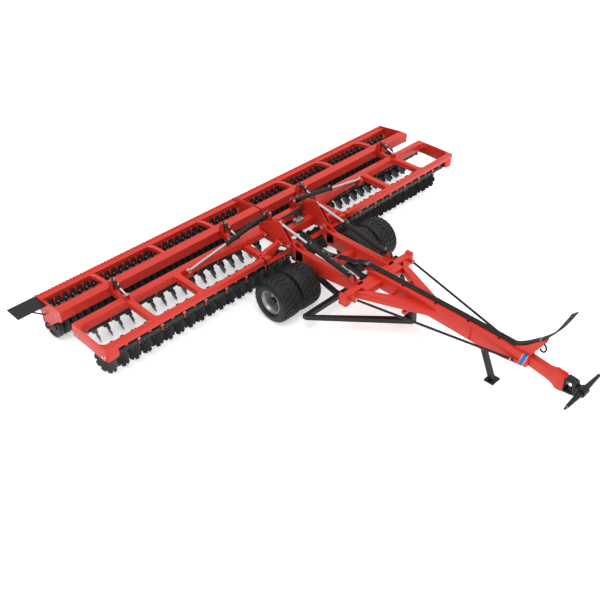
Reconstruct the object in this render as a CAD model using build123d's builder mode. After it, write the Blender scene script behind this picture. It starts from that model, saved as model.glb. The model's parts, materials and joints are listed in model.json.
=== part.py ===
"""Trailed folding disc harrow, about 9.3 m of working width, with a ring roller behind its discs.

Millimetres, +Z up. The harrow is towed towards -Y, +X is its left side and X = 0 its centre plane.
Sizes are worked out on the ground under the front disc beam, and every piece is then moved to the
datum, the middle of the cross bar that a tractor's lower links take.
"""

from build123d import *
from math import cos, radians, sin

# Driving sizes of the whole machine
DISC_PITCH = 250
DISCS_PER_WING_ROW = 18
HALF_WIDTH = 4700
CENTRE_GAP = 20
BEAM_TOP = 880
BEAM_DEPTH = 160
BEAM_WIDTH = 160
REAR_BEAM_Y = 810
SKIN = 0.3

# Discs and what carries them
DISC_RADIUS = 255
DISC_THICK = 8
DISC_NOTCHES = 9
DISC_NOTCH_DEPTH = 38
DISC_ANGLE = 17
DISC_TRAIL = 240
DISC_LIFT = 4
TORSION_SIZE = 90
TORSION_TOP = 700
INNER_BAR_SIZE = 50
HANGER_PITCH = 2 * DISC_PITCH
HANGER_THICK = 20
ARM_THICK = 30

# Wing frames and their hinges on the centre tower
INNER_BEAM_END = 960
FRAME_PLATE = 20
CROSS_WIDTH = 100
WING_CROSSES = (1050, 2580, 3600)
HINGE_X = 620
HINGE_Z = 950
KNUCKLE_RADIUS = 50
HINGE_PIN_RADIUS = 22
FRONT_KNUCKLE = (25, 115)
REAR_KNUCKLE = (465, 615)
ARM_START_X = 2550

# Chassis, drawbar and tower pivot
RAIL_X = (360, 500)
RAIL_Y = (-1860, -250)
RAIL_Z = (600, 890)
CROSS_Y = (-2050, -1850)
CROSS_Z = (700, 900)
PAD_X = (800, 960)
PAD_TOP = 945
DRAWBAR_X = 110
DRAWBAR_TOP = 980
DRAWBAR_END_Y = -5090
TILT_Y = -120
TILT_Z = 930
TILT_PIN_RADIUS = 30
TOWER_INNER = (455, 475)
TOWER_OUTER = (537, 557)

# Wheels
AXLE_Y = -660
TYRE_RADIUS = 432.5
TYRE_WIDTH = 460
RIM_RADIUS = 232
TYRE_MIDDLES = (760, 1350)
SPINDLE_RADIUS = 45
LUGS = 20
LUG_HEIGHT = 22

# Ring roller and its frame
ROLLER_Y = 1830
ROLLER_RADIUS = 280
RING_PITCH = 150
RINGS = 31
RING_THICK = 22
CORE_RADIUS = 140
ROLLER_SHAFT_RADIUS = 35
ROLLER_PIVOT_Y = 960
ROLLER_PIVOT_Z = 800
ROLLER_ARM_X = (1050, 3640)
FRONT_TUBE_Y = (1240, 1440)
FRONT_TUBE_Z = (720, 910)
REAR_TUBE_Y = (1930, 2090)
REAR_TUBE_Z = (660, 804)

# Hydraulic cylinders, each as (y or x, z) of its pins
LIFT_X = 506
LIFT_BASE = (-1710, 990)
LIFT_EYE = (156, 1304)
LIFT_BARREL = 1150
LIFT_RADIUS = 50
LIFT_ROD_RADIUS = 28
LIFT_PIN_RADIUS = 22
FOLD_Y = 655
FOLD_BASE = (332, 1230)
FOLD_EYE = (2360, 893)
FOLD_BARREL = 1130
FOLD_RADIUS = 45
FOLD_ROD_RADIUS = 22
DEPTH_BASE = (1180, 1090)
DEPTH_EYE = (790, 960)
DEPTH_BARREL = 230
DEPTH_RADIUS = 32
DEPTH_ROD_RADIUS = 20

# Stand, hitch and hoses
STAND_Y = -4220
STAND_Z = 600
STAND_FOOT_Y = -4490
HITCH_Y = -6030
HITCH_Z = 790
SWIVEL_Y = -5900
LINK_PIN_SHOULDER = 482
LINK_PIN_END = 535
LINK_PIN_RADIUS = 18.3
HOSE_RADIUS = 13

DATUM = Location((0, -HITCH_Y, -HITCH_Z))


def keep(shape, name):
    """Moves a finished piece to the datum, labels it and writes it."""
    piece = shape.moved(DATUM)
    piece.label = name
    export_step(piece, f"parts/{name}.step")


def keep_pair(shape, name):
    """Writes a piece of the right side and its mirror image on the left."""
    keep(shape, f"{name}_right")
    keep(mirror(shape, about=Plane.YZ), f"{name}_left")


def span(side, near, far):
    """The range between two distances from the centre plane, on the left (1) or right (-1)."""
    return tuple(sorted((side * near, side * far)))


def block(x, y, z, mode=Mode.ADD):
    """A box that fills three ranges."""
    with Locations(((x[0] + x[1]) / 2, (y[0] + y[1]) / 2, (z[0] + z[1]) / 2)):
        Box(x[1] - x[0], y[1] - y[0], z[1] - z[0], mode=mode)


def side_plate(x, outline, mode=Mode.ADD):
    """A plate across X whose outline is in Y and Z."""
    with BuildSketch(Plane.YZ.offset(x[0])) as profile:
        with BuildLine():
            Polyline(*outline, close=True)
        make_face()
    extrude(profile.sketch, amount=x[1] - x[0], mode=mode)


def front_plate(y, outline, mode=Mode.ADD):
    """A plate across Y whose outline is in X and Z."""
    with BuildSketch(Plane.XZ.offset(-y[1])) as profile:
        with BuildLine():
            Polyline(*outline, close=True)
        make_face()
    extrude(profile.sketch, amount=y[1] - y[0], mode=mode)


def floor_plate(z, outline, mode=Mode.ADD):
    """A plate across Z whose outline is in X and Y."""
    with BuildSketch(Plane.XY.offset(z[0])) as profile:
        with BuildLine():
            Polyline(*outline, close=True)
        make_face()
    extrude(profile.sketch, amount=z[1] - z[0], mode=mode)


def round_bar(start, end, radius, mode=Mode.ADD):
    """A round bar between two points."""
    line = Vector(*end) - Vector(*start)
    with BuildSketch(Plane(origin=start, z_dir=line)) as profile:
        Circle(radius)
    extrude(profile.sketch, amount=line.length, mode=mode)


def bar_along_x(x, y, z, radius, mode=Mode.ADD):
    round_bar((x[0], y, z), (x[1], y, z), radius, mode)


def bar_along_y(y, x, z, radius, mode=Mode.ADD):
    round_bar((x, y[0], z), (x, y[1], z), radius, mode)


def point_between(start, end, distance):
    """The point a distance along the line from start to end."""
    line = Vector(*end) - Vector(*start)
    spot = Vector(*start) + line.normalized() * distance
    return (spot.X, spot.Y, spot.Z)


def cylinder_barrel(name, base, eye, length, radius, rod_radius, eye_axis, eye_width, pin_radius):
    """A hydraulic barrel with its base eye, open for its rod at the far end."""
    half = eye_width / 2
    step = Vector(half, 0, 0) if eye_axis == "x" else Vector(0, half, 0)
    first, last = Vector(*base) - step, Vector(*base) + step
    with BuildPart() as barrel:
        round_bar(base, point_between(base, eye, length), radius)
        round_bar(tuple(first), tuple(last), radius)
        bore_start = point_between(base, eye, 2 * radius)
        round_bar(bore_start, point_between(base, eye, length + 1), rod_radius + SKIN, Mode.SUBTRACT)
        round_bar(tuple(first), tuple(last), pin_radius + SKIN, Mode.SUBTRACT)
        cheek = 2 * radius
        for side in (-1, 1):
            away = Vector(side * (half + radius), 0, 0) if eye_axis == "x" else Vector(0, side * (half + radius), 0)
            spot = Vector(*base) + away
            with Locations(Location(tuple(spot))):
                Box(*((cheek, 3 * radius, 3 * radius) if eye_axis == "x" else (3 * radius, cheek, 3 * radius)),
                    mode=Mode.SUBTRACT)
    keep_pair(barrel.part, name)


def cylinder_rod(name, base, eye, start, rod_radius, eye_radius, eye_axis, eye_width):
    """A piston rod that starts inside its barrel and ends in the eye on its pin."""
    half = eye_width / 2
    step = Vector(half, 0, 0) if eye_axis == "x" else Vector(0, half, 0)
    with BuildPart() as rod:
        round_bar(point_between(base, eye, start), eye, rod_radius)
        round_bar(tuple(Vector(*eye) - step), tuple(Vector(*eye) + step), eye_radius)
    keep_pair(rod.part, name)


def star(radius, depth, notches):
    """Outline of a notched disc."""
    step = 360 / notches
    points = []
    for notch in range(notches):
        turn = notch * step
        for share, reach in ((-0.3, radius), (0.3, radius), (0.5, radius - depth)):
            angle = radians(turn + share * step)
            points.append((reach * cos(angle), reach * sin(angle)))
    return points


# Chassis with rails, cross beam, wing rests and drawbar
with BuildPart() as chassis:
    for side in (-1, 1):
        block(span(side, *RAIL_X), RAIL_Y, RAIL_Z)
        for ear in ((RAIL_X[0], RAIL_X[0] + 20), (RAIL_X[1] - 20, RAIL_X[1])):
            side_plate(span(side, *ear), [
                (-450, 700), (-250, 640), (-70, 860), (-45, 930), (-75, 985),
                (-120, 1002), (-165, 985), (-420, 890),
            ])
        block(span(side, 430, 545), (-1790, -1630), (RAIL_Z[1] - 5, RAIL_Z[1] + 30))
        for lug in ((466, 479), (533, 545)):
            side_plate(span(side, *lug), [
                (-1790, 910), (-1630, 910), (-1665, 1020), (-1690, 1040), (-1730, 1040), (-1755, 1020),
            ])
        front_plate((CROSS_Y[0] - 30, CROSS_Y[1] + 30), [
            (side * 800, 880), (side * 800, 690), (side * 850, 610), (side * 910, 600),
            (side * 960, 680), (side * 960, PAD_TOP), (side * 900, PAD_TOP), (side * 880, 905),
        ])
        floor_plate((740, 880), [
            (side * 740, CROSS_Y[0] + 10), (side * 590, CROSS_Y[0] + 10), (side * 100, -3300), (side * 100, -3700),
        ])
        block(span(side, 100, 380), (-2700, -2640), (770, 860))
        block(span(side, 100, 150), (-4940, -4860), (760, 820))
        block(span(side, 790, 850), (CROSS_Y[0] - 90, CROSS_Y[0]), (760, 830))
    block((-PAD_X[1] + 100, PAD_X[1] - 100), CROSS_Y, CROSS_Z)
    side_plate((-DRAWBAR_X, DRAWBAR_X), [
        (-1700, DRAWBAR_TOP - 60), (-1850, DRAWBAR_TOP), (DRAWBAR_END_Y, DRAWBAR_TOP), (DRAWBAR_END_Y, 740),
        (-4700, 680), (STAND_Y, 650), (-2900, 690), (-1700, 690),
    ])
    block((-RAIL_X[0] - 5, RAIL_X[0] + 5), (-1000, -860), (640, 800))
    for ear in ((-62, -47), (47, 62)):
        side_plate(ear, [(STAND_Y - 70, 660), (STAND_Y + 70, 660), (STAND_Y + 40, 560), (STAND_Y - 40, 560)])
    for side in (-1, 1):
        bar_along_x(span(side, RAIL_X[0] + 5, RAIL_X[1] - 5), TILT_Y, TILT_Z, TILT_PIN_RADIUS)
        bar_along_x(span(side, 475, 535), LIFT_BASE[0], LIFT_BASE[1], LIFT_PIN_RADIUS)
    bar_along_x((-60, 60), STAND_Y, STAND_Z, 15)
keep(chassis.part, "chassis")

# Black axle frame under the rails, with the spindles that carry the wheels
with BuildPart() as axle_frame:
    block((-500, 500), (AXLE_Y - 60, AXLE_Y + 60), (TYRE_RADIUS - 60, TYRE_RADIUS + 60))
    bar_along_x((-1500, 1500), AXLE_Y, TYRE_RADIUS, SPINDLE_RADIUS)
    block((-1320, 1320), (-1340, -1250), (260, 350))
    for side in (-1, 1):
        block(span(side, 400, 500), (AXLE_Y - 90, AXLE_Y + 90), (480, RAIL_Z[0]))
        side_plate(span(side, 330, 410), [
            (-1300, 262), (-1300, 348), (-1180, 350), (AXLE_Y - 50, 480), (AXLE_Y - 50, 380), (-1180, 262),
        ])
        floor_plate((260, 350), [
            (side * 1320, -1250), (side * 1320, -1330), (side * 60, -2760), (0, -2760), (0, -2680), (side * 20, -2640),
        ])
    side_plate((-60, 60), [(-2780, 262), (-2660, 262), (-2560, 400), (-2560, 690), (-2760, 690)])
keep(axle_frame.part, "axle_frame")

# Stay rods from the wing rests to the drawbar
with BuildPart() as stay_rods:
    for side in (-1, 1):
        round_bar((side * 820, CROSS_Y[0] - 60, 795), (side * 135, -4880, 790), 17)
keep(stay_rods.part, "stay_rods")

# Hose mast over the drawbar's front end
with BuildPart() as hose_mast:
    for cheek in ((-70, -58), (58, 70)):
        side_plate(cheek, [
            (-4760, DRAWBAR_TOP), (-5000, 1140), (-5230, 1370), (-5285, 1380), (-5260, 1280), (DRAWBAR_END_Y, DRAWBAR_TOP),
        ])
    bar_along_x((-60, 60), -5240, 1345, 20)
    block((-60, 60), (-5080, -5060), (DRAWBAR_TOP, 1040))
keep(hose_mast.part, "hose_mast")

# Hydraulic lines clipped along the drawbar
with BuildPart() as drawbar_hoses:
    for lane in range(4):
        x = (lane - 1.5) * 30
        with BuildLine() as route:
            Polyline((x, -1560, 1000), (x, -4760, 1000), (x, -5040, 1200), (x, -5225, 1390))
        with BuildSketch(Plane(origin=route.line @ 0, z_dir=route.line % 0)):
            RegularPolygon(HOSE_RADIUS, 8)
        sweep(path=route.line, transition=Transition.RIGHT)
    block((-65, 65), (-2500, -2470), (DRAWBAR_TOP, 1018))
    block((-65, 65), (-3900, -3870), (DRAWBAR_TOP, 1018))
keep(drawbar_hoses.part, "drawbar_hoses")

# Free hose ends that leave the mast
for lane in range(4):
    x = (lane - 1.5) * 30
    spread = (lane - 1.5) * 60
    with BuildPart() as hose:
        with BuildLine() as route:
            Polyline((x, -5225, 1390), (x, -5322.4, 1490), (spread, -5480, 1760), (spread, -5600, 2100))
        with BuildSketch(Plane(origin=route.line @ 0, z_dir=route.line % 0)):
            RegularPolygon(HOSE_RADIUS, 8)
        sweep(path=route.line, transition=Transition.RIGHT)
    keep(hose.part, f"hose_end_{lane + 1}")

# Drawbar's front link with its fork for the swivel
with BuildPart() as hitch_link:
    side_plate((-90, 90), [
        (DRAWBAR_END_Y, 745), (-5450, 715), (-5600, 680), (-5780, 670), (-5780, 1030),
        (-5600, 1030), (-5450, 1000), (DRAWBAR_END_Y, 970),
    ])
    for shelf in ((670, 710), (990, 1030)):
        block((-80, 80), (SWIVEL_Y - 60, -5775), shelf)
    round_bar((0, SWIVEL_Y, 690), (0, SWIVEL_Y, 1010), 25)
    block((-20, 20), (-5740, -5620), (900, 1031), Mode.SUBTRACT)
keep(hitch_link.part, "hitch_link")

with BuildPart() as hitch_swivel:
    round_bar((0, SWIVEL_Y, 710 + SKIN), (0, SWIVEL_Y, 990 - SKIN), 62)
    block((-75, 75), (HITCH_Y, SWIVEL_Y), (HITCH_Z - 62, HITCH_Z + 62))
    bar_along_x((-75, 75), HITCH_Y, HITCH_Z, 78)
    bar_along_x((-75, 75), HITCH_Y, HITCH_Z, 50 + SKIN, Mode.SUBTRACT)
    round_bar((0, SWIVEL_Y, 700), (0, SWIVEL_Y, 1000), 25 + SKIN, Mode.SUBTRACT)
keep(hitch_swivel.part, "hitch_swivel")

with BuildPart() as hitch_bar:
    with BuildSketch(Plane.XY.offset(HITCH_Z)):
        with BuildLine():
            Polyline(
                (-LINK_PIN_END, HITCH_Y), (-LINK_PIN_END, HITCH_Y + LINK_PIN_RADIUS),
                (-LINK_PIN_SHOULDER, HITCH_Y + LINK_PIN_RADIUS), (-LINK_PIN_SHOULDER, HITCH_Y + 30),
                (-110, HITCH_Y + 50), (110, HITCH_Y + 50), (LINK_PIN_SHOULDER, HITCH_Y + 30),
                (LINK_PIN_SHOULDER, HITCH_Y + LINK_PIN_RADIUS), (LINK_PIN_END, HITCH_Y + LINK_PIN_RADIUS),
                (LINK_PIN_END, HITCH_Y), close=True,
            )
        make_face()
    revolve(axis=Axis((0, HITCH_Y, HITCH_Z), (1, 0, 0)))
keep(hitch_bar.part, "hitch_bar")

# Swing-down stand
with BuildPart() as stand:
    leg_start, leg_end = Vector(0, STAND_Y, STAND_Z), Vector(0, STAND_FOOT_Y, 20)
    leg = leg_end - leg_start
    with BuildSketch(Plane(origin=leg_start, x_dir=(1, 0, 0), z_dir=leg)):
        Rectangle(88, 80)
    extrude(amount=leg.length - 5)
    bar_along_x((-44, 44), STAND_Y, STAND_Z, 42)
    bar_along_x((-60, 60), STAND_Y, STAND_Z, 15 + SKIN, Mode.SUBTRACT)
    block((-110, 110), (STAND_FOOT_Y - 95, STAND_FOOT_Y + 95), (0, 22))
keep(stand.part, "stand")


RIGHT = -1


def make_wheels():
    tread = TYRE_RADIUS - LUG_HEIGHT
    half = TYRE_WIDTH / 2
    with BuildPart() as lug:
        with BuildSketch(Plane.XY.offset(tread - 40)):
            with BuildLine():
                Polyline((4, -22), (4, 14), (196, 62), (200, 30), close=True)
            make_face()
        extrude(amount=40 + LUG_HEIGHT)
    lug_places = []
    for step in range(LUGS):
        turn = 360 / LUGS * step
        lug_places.append(Location((0, 0, 0), (turn, 0, 0)))
        lug_places.append(Location((0, 0, 0), (turn + 180 / LUGS, 0, 0)) * Location((0, 0, 0), (0, 0, 180)))
    with BuildPart() as tyre:
        with BuildSketch(Plane.XY):
            with BuildLine():
                Polyline(
                    (-half + 45, RIM_RADIUS + SKIN), (-half, 330), (-half + 35, tread - 18), (0, tread),
                    (half - 35, tread - 18), (half, 330), (half - 45, RIM_RADIUS + SKIN), close=True,
                )
            make_face()
        revolve(axis=Axis.X)
        with Locations(*lug_places):
            add(lug.part)
    places = [(RIGHT * middle, AXLE_Y, TYRE_RADIUS) for middle in TYRE_MIDDLES]
    with BuildPart() as tyres:
        with Locations(*places):
            add(tyre.part)
    keep_pair(tyres.part, "tyres")
    with BuildPart() as rims:
        for middle in TYRE_MIDDLES:
            bar_along_x(span(RIGHT, middle - 195, middle + 195), AXLE_Y, TYRE_RADIUS, RIM_RADIUS)
            for hollow in ((middle - 196, middle - 30), (middle, middle + 196)):
                bar_along_x(span(RIGHT, *hollow), AXLE_Y, TYRE_RADIUS, RIM_RADIUS - 16, Mode.SUBTRACT)
        bar_along_x(span(RIGHT, TYRE_MIDDLES[0] - 150, TYRE_MIDDLES[1] + 60), AXLE_Y, TYRE_RADIUS, 85)
        bar_along_x(span(RIGHT, 500, 1501), AXLE_Y, TYRE_RADIUS, SPINDLE_RADIUS + SKIN, Mode.SUBTRACT)
    keep_pair(rims.part, "rims")


def make_wing():
    end_plate = [
        (-80, BEAM_TOP), (890, BEAM_TOP), (930, 760), (940, 620), (880, 575), (720, 600), (20, 575), (-60, 620),
    ]
    bar_hole = INNER_BAR_SIZE / 2 + SKIN
    bar_z = TORSION_TOP - TORSION_SIZE / 2
    with BuildPart() as hanger:
        side_plate((-HANGER_THICK / 2, HANGER_THICK / 2), [
            (-60, 725), (60, 725), (58, TORSION_TOP - TORSION_SIZE - 10), (-58, TORSION_TOP - TORSION_SIZE - 10),
        ])
        block((-HANGER_THICK, HANGER_THICK), (-bar_hole, bar_hole), (bar_z - bar_hole, bar_z + bar_hole), Mode.SUBTRACT)
    hanger_places = [
        (RIGHT * (DISC_PITCH / 2 + step * HANGER_PITCH), row_y, 0) for row_y in (0, REAR_BEAM_Y) for step in range(10)
    ]
    with BuildPart() as wing:
        front_y = (-BEAM_WIDTH / 2, BEAM_WIDTH / 2)
        rear_y = (REAR_BEAM_Y - BEAM_WIDTH / 2, REAR_BEAM_Y + BEAM_WIDTH / 2)
        beam_z = (BEAM_TOP - BEAM_DEPTH, BEAM_TOP)
        block(span(RIGHT, INNER_BEAM_END, HALF_WIDTH), front_y, beam_z)
        block(span(RIGHT, 115, HALF_WIDTH), rear_y, beam_z)
        block(span(RIGHT, 115, INNER_BEAM_END + 140), (-60, 60), (705, 725))
        for cross in WING_CROSSES:
            block(span(RIGHT, cross - CROSS_WIDTH / 2, cross + CROSS_WIDTH / 2), (70, 740), (760, BEAM_TOP))
        side_plate(span(RIGHT, HALF_WIDTH - FRAME_PLATE, HALF_WIDTH), end_plate)
        # Fabricated arm from the rear beam to the rear hinge
        with BuildSketch(Plane.YZ.offset(RIGHT * ARM_START_X)) as arm_start:
            with Locations((REAR_BEAM_Y + 10, 812)):
                Rectangle(140, 135)
        with BuildSketch(Plane.YZ.offset(RIGHT * 665)) as arm_end:
            with Locations(((REAR_KNUCKLE[0] + REAR_KNUCKLE[1]) / 2, HINGE_Z - 5)):
                Rectangle(REAR_KNUCKLE[1] - REAR_KNUCKLE[0], 130)
        loft(sections=[arm_start.sketch, arm_end.sketch], ruled=True)
        block(span(RIGHT, HINGE_X, 670), REAR_KNUCKLE, (HINGE_Z - 45, HINGE_Z + 45))
        bar_along_y(REAR_KNUCKLE, RIGHT * HINGE_X, HINGE_Z, KNUCKLE_RADIUS)
        # Front hinge arm from the inner end of the front beam
        front_plate(FRONT_KNUCKLE, [
            (RIGHT * HINGE_X, HINGE_Z + 45), (RIGHT * HINGE_X, HINGE_Z - 45), (RIGHT * 900, 710),
            (RIGHT * 1080, 710), (RIGHT * 1080, 890), (RIGHT * 960, 950),
        ])
        bar_along_y(FRONT_KNUCKLE, RIGHT * HINGE_X, HINGE_Z, KNUCKLE_RADIUS)
        for knuckle in (FRONT_KNUCKLE, REAR_KNUCKLE):
            reach = (knuckle[0] - 1, knuckle[1] + 1)
            bar_along_y(reach, RIGHT * HINGE_X, HINGE_Z, HINGE_PIN_RADIUS + SKIN, Mode.SUBTRACT)
        with Locations(*hanger_places):
            add(hanger.part)
        # Lugs for the fold cylinder's rod
        for lug in ((FOLD_Y - 50, FOLD_Y - 36), (FOLD_Y + 22, FOLD_Y + 36)):
            front_plate(lug, [
                (RIGHT * (FOLD_EYE[0] - 50), 770), (RIGHT * (FOLD_EYE[0] + 50), 770),
                (RIGHT * (FOLD_EYE[0] + 45), 920), (RIGHT * (FOLD_EYE[0] - 45), 920),
            ])
        block(span(RIGHT, FOLD_EYE[0] - 50, FOLD_EYE[0] + 50), (FOLD_Y - 50, REAR_BEAM_Y - 70), (770, 810))
        # Lugs for the depth cylinders and pivots of the roller arms
        for x in ROLLER_ARM_X:
            for hand in (-1, 1):
                side_plate(span(RIGHT, x + hand * 24, x + hand * 36), [
                    (DEPTH_EYE[0] - 50, 870), (DEPTH_EYE[0] + 50, 870), (DEPTH_EYE[0] + 30, 990),
                    (DEPTH_EYE[0] - 30, 990),
                ])
                side_plate(span(RIGHT, x + hand * 44, x + hand * 56), [
                    (REAR_BEAM_Y + 70, 730), (REAR_BEAM_Y + 70, 875), (ROLLER_PIVOT_Y + 40, 840),
                    (ROLLER_PIVOT_Y + 40, 760),
                ])
            bar_along_x(span(RIGHT, x - 50, x + 50), ROLLER_PIVOT_Y, ROLLER_PIVOT_Z, 16)
    keep_pair(wing.part, "wing_frame")


def make_disc_row(name, row_y, first_x, lean):
    """Inner bar, torsion segments, arms and notched discs of a wing's row, the same on both wings."""
    bar_z = TORSION_TOP - TORSION_SIZE / 2
    normal = (cos(radians(DISC_ANGLE)), lean * sin(radians(DISC_ANGLE)), 0)
    centre = (0, row_y + DISC_TRAIL, DISC_RADIUS + DISC_LIFT)
    with BuildPart() as carrier:
        side_plate((-ARM_THICK / 2, ARM_THICK / 2), [
            (row_y - 30, 640), (row_y + 40, 640), (row_y + 120, 480), (row_y + DISC_TRAIL + 35, 270),
            (row_y + DISC_TRAIL + 10, 225), (row_y + DISC_TRAIL - 40, 260), (row_y + 60, 470),
        ])
        with BuildSketch(Plane(origin=centre, x_dir=(0, 0, 1), z_dir=normal)):
            with BuildLine():
                Polyline(*star(DISC_RADIUS, DISC_NOTCH_DEPTH, DISC_NOTCHES), close=True)
            make_face()
        extrude(amount=DISC_THICK / 2, both=True)
    row_length = HANGER_PITCH * 9
    bar_middle = -(DISC_PITCH / 2 + row_length / 2)
    disc_places = [(-(first_x + step * DISC_PITCH), 0, 0) for step in range(DISCS_PER_WING_ROW)]
    segment_places = [(-(DISC_PITCH / 2 + (step + 0.5) * HANGER_PITCH), row_y, bar_z) for step in range(9)]
    with BuildPart() as row:
        with Locations((bar_middle, row_y, bar_z)):
            Box(row_length + HANGER_THICK, INNER_BAR_SIZE, INNER_BAR_SIZE)
        with Locations(*segment_places):
            Box(HANGER_PITCH - HANGER_THICK - 2, TORSION_SIZE, TORSION_SIZE)
        with Locations(*disc_places):
            add(carrier.part)
    keep(row.part, f"{name}_right")
    keep(row.part.moved(Location((row_length + DISC_PITCH, 0, 0))), f"{name}_left")


def make_roller_frame():
    with BuildPart() as frame:
        length = span(RIGHT, CENTRE_GAP, HALF_WIDTH)
        block(length, FRONT_TUBE_Y, FRONT_TUBE_Z)
        block(length, REAR_TUBE_Y, REAR_TUBE_Z)
        end_plate = [
            (REAR_TUBE_Y[1], REAR_TUBE_Z[1] + 30), (REAR_TUBE_Y[1] - 60, 620), (1950, 470), (1900, 330), (1850, 270),
            (1790, 240), (1740, 330), (1420, 600), (FRONT_TUBE_Y[0], 700), (FRONT_TUBE_Y[0], FRONT_TUBE_Z[1]),
            (FRONT_TUBE_Y[1], FRONT_TUBE_Z[1]),
        ]
        for wall in ((CENTRE_GAP, CENTRE_GAP + 15), (HALF_WIDTH - 15, HALF_WIDTH + 5)):
            side_plate(span(RIGHT, *wall), end_plate)
            bar_along_x(span(RIGHT, *wall), ROLLER_Y, ROLLER_RADIUS + 4, 75)
            reach = span(RIGHT, wall[0] - 1, wall[1] + 1)
            bar_along_x(reach, ROLLER_Y, ROLLER_RADIUS + 4, ROLLER_SHAFT_RADIUS + SKIN, Mode.SUBTRACT)
        for cross in (1100, 2330, 3640):
            side_plate(span(RIGHT, cross - 40, cross + 40), [
                (FRONT_TUBE_Y[1] - 10, FRONT_TUBE_Z[1] - 60), (FRONT_TUBE_Y[1] - 10, FRONT_TUBE_Z[1]),
                (1560, 905), (1760, 880), (REAR_TUBE_Y[0] + 10, REAR_TUBE_Z[1]),
                (REAR_TUBE_Y[0] + 10, REAR_TUBE_Z[1] - 70), (1760, 800), (1560, 825),
            ])
        for x in ROLLER_ARM_X:
            side_plate(span(RIGHT, x - 42, x + 42), [
                (FRONT_TUBE_Y[0] + 10, 740), (ROLLER_PIVOT_Y, 755), (ROLLER_PIVOT_Y - 40, 775),
                (ROLLER_PIVOT_Y - 40, 825), (ROLLER_PIVOT_Y, 845), (FRONT_TUBE_Y[0] + 10, 880),
            ])
            bar_along_x(span(RIGHT, x - 43, x + 43), ROLLER_PIVOT_Y, ROLLER_PIVOT_Z, 16 + SKIN, Mode.SUBTRACT)
            for hand in (-1, 1):
                side_plate(span(RIGHT, x + hand * 24, x + hand * 36), [
                    (FRONT_TUBE_Y[0] - 100, 860), (FRONT_TUBE_Y[0] + 60, 900), (FRONT_TUBE_Y[0] - 30, 1120),
                    (FRONT_TUBE_Y[0] - 90, 1120),
                ])
            bar_along_x(span(RIGHT, x - 30, x + 30), *DEPTH_BASE, 14)
    keep_pair(frame.part, "roller_frame")
    with BuildPart() as blade:
        side_plate((-30, 30), [
            (REAR_TUBE_Y[0] - SKIN, 650), (REAR_TUBE_Y[0] - SKIN, 728), (REAR_TUBE_Y[0] - 22, 728),
            (REAR_TUBE_Y[0] - 48, 600), (REAR_TUBE_Y[0] - 30, 445), (REAR_TUBE_Y[0] - 10, 435),
            (REAR_TUBE_Y[0] - 28, 600),
        ])
    with BuildPart() as scrapers:
        block(span(RIGHT, 60, HALF_WIDTH - 60), (REAR_TUBE_Y[0] - 42, REAR_TUBE_Y[0] - SKIN), (690, 725))
        with Locations(*[(RIGHT * (100 + RING_PITCH * (step + 0.5)), 0, 0) for step in range(RINGS - 1)]):
            add(blade.part)
    keep_pair(scrapers.part, "scrapers")


def make_roller():
    axis_z = ROLLER_RADIUS + 4
    with BuildPart() as ring:
        with BuildSketch(Plane.YZ.offset(-RING_THICK / 2)):
            RegularPolygon(ROLLER_RADIUS, 12)
        extrude(amount=RING_THICK)
    core = span(RIGHT, 60, HALF_WIDTH - 60)
    with BuildPart() as roller:
        bar_along_x(span(RIGHT, CENTRE_GAP + 1, HALF_WIDTH), ROLLER_Y, axis_z, ROLLER_SHAFT_RADIUS)
        with BuildSketch(Plane.YZ.offset(core[0])):
            with Locations((ROLLER_Y, axis_z)):
                RegularPolygon(CORE_RADIUS, 8)
        extrude(amount=core[1] - core[0])
        with Locations(*[(RIGHT * (100 + RING_PITCH * step), ROLLER_Y, axis_z) for step in range(RINGS)]):
            add(ring.part)
    keep_pair(roller.part, "roller")


def make_cylinders():
    lift_base = (RIGHT * LIFT_X, *LIFT_BASE)
    lift_eye = (RIGHT * LIFT_X, *LIFT_EYE)
    cylinder_barrel("lift_barrel", lift_base, lift_eye, LIFT_BARREL, LIFT_RADIUS, LIFT_ROD_RADIUS,
                    "x", 46, LIFT_PIN_RADIUS)
    cylinder_rod("lift_rod", lift_base, lift_eye, 860, LIFT_ROD_RADIUS, 42, "x", 50)
    fold_base = (RIGHT * FOLD_BASE[0], FOLD_Y - 7, FOLD_BASE[1])
    fold_eye = (RIGHT * FOLD_EYE[0], FOLD_Y - 7, FOLD_EYE[1])
    cylinder_barrel("fold_barrel", fold_base, fold_eye, FOLD_BARREL, FOLD_RADIUS, FOLD_ROD_RADIUS, "y", 40, 20)
    cylinder_rod("fold_rod", fold_base, fold_eye, 900, FOLD_ROD_RADIUS, 38, "y", 44)
    for place, x in zip(("inner", "outer"), ROLLER_ARM_X):
        base = (RIGHT * x, *DEPTH_BASE)
        eye = (RIGHT * x, *DEPTH_EYE)
        cylinder_barrel(f"depth_barrel_{place}", base, eye, DEPTH_BARREL, DEPTH_RADIUS, DEPTH_ROD_RADIUS, "x", 40, 14)
        cylinder_rod(f"depth_rod_{place}", base, eye, 160, DEPTH_ROD_RADIUS, 28, "x", 40)


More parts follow.
